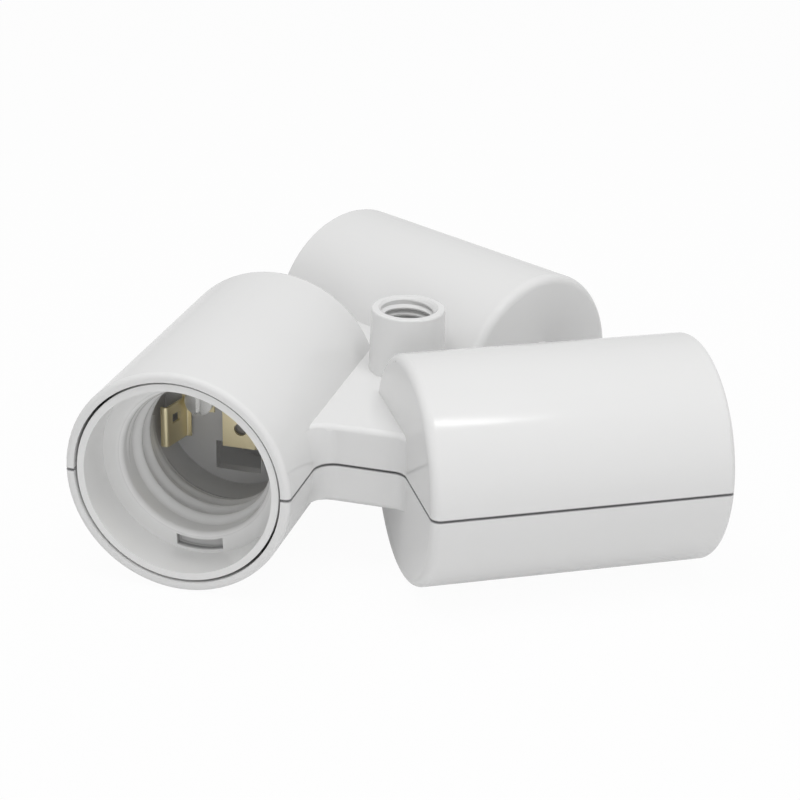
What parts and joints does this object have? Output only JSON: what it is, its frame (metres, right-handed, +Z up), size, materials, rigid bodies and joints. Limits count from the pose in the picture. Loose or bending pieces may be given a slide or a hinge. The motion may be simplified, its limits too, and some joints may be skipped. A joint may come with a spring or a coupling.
{
  "type": "lamp socket splitter",
  "caption": "Lamp socket splitter: horizontal screw sockets set as a pinwheel round a threaded stem boss, in a white two-shell housing with brass contacts and bus stars inside",
  "frame": {"origin": "the centre of the mouth of the threaded stem hole, on top of the boss", "axes": "+Z points up out of the stem hole, along the boss axis; +X is the direction in which socket 1 opens; sockets 2 and 3 are turned from it by 120 and 240 degrees about +Z"},
  "size_m": [0.1081, 0.1097, 0.04],
  "materials": {
    "housing": "glossy white moulding",
    "insert": "glossy white moulding",
    "block": "satin white moulding",
    "carrier": "satin white moulding",
    "contact_brass": "bright stamped brass",
    "plated_screw": "bright nickel plate",
    "screw_steel": "zinc-plated steel"
  },
  "bodies": {
    "root": {"bus_carrier": "carrier", "centre_contact_1": "contact_brass", "centre_contact_2": "contact_brass", "centre_contact_3": "contact_brass", "contact_block_1": "block", "contact_block_2": "block", "contact_block_3": "block", "contact_nuts": "plated_screw", "contact_screws": "plated_screw", "housing_screws": "screw_steel", "live_bus": "contact_brass", "live_supply_clamp": "contact_brass", "lower_shell": "housing", "neutral_bus": "contact_brass", "neutral_supply_clamp": "contact_brass", "side_contact_1": "contact_brass", "side_contact_2": "contact_brass", "side_contact_3": "contact_brass", "socket_insert_1": "insert", "socket_insert_2": "insert", "socket_insert_3": "insert", "supply_clamp_screws": "plated_screw", "upper_shell": "housing"}
  },
  "joints": []
}
